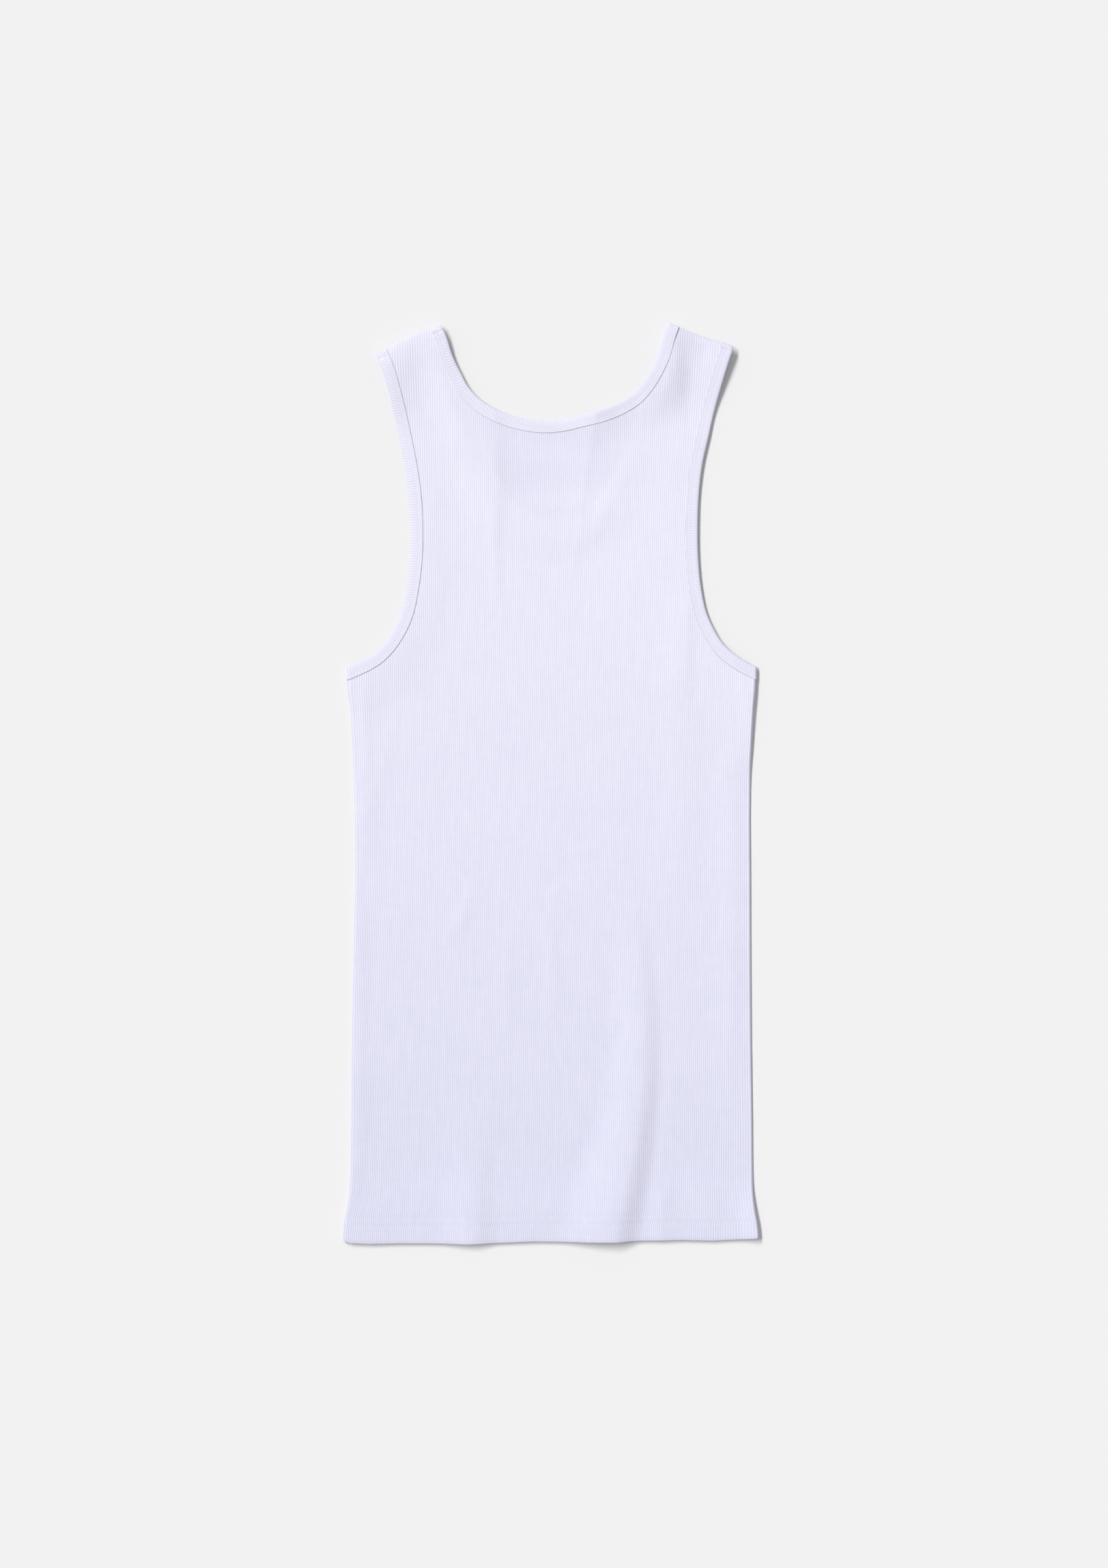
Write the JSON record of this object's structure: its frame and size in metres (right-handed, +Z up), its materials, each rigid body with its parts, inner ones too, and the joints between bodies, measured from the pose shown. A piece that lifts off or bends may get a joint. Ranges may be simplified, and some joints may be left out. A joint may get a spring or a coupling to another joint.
{
  "type": "ribbed tank top, laid flat",
  "caption": "Sleeveless rib-knit tank top with wide straps and bound neck and armholes, laid flat with its back up.",
  "frame": {"origin": "on the surface that the garment lies on, under the middle of its box", "axes": "+Y from the hem to the shoulders, +X across the garment to the picture's right, +Z up out of the back panel"},
  "size_m": [0.325, 0.7206, 0.0084],
  "materials": {
    "rib_knit": "fine white cotton rib knit, matt",
    "binding_knit": "folded strip of the same white rib, matt, stitched in two rows"
  },
  "bodies": {
    "root": {"back": "rib_knit", "front": "rib_knit", "neck_binding": "binding_knit", "armhole_binding_left": "binding_knit", "armhole_binding_right": "binding_knit"}
  },
  "joints": []
}
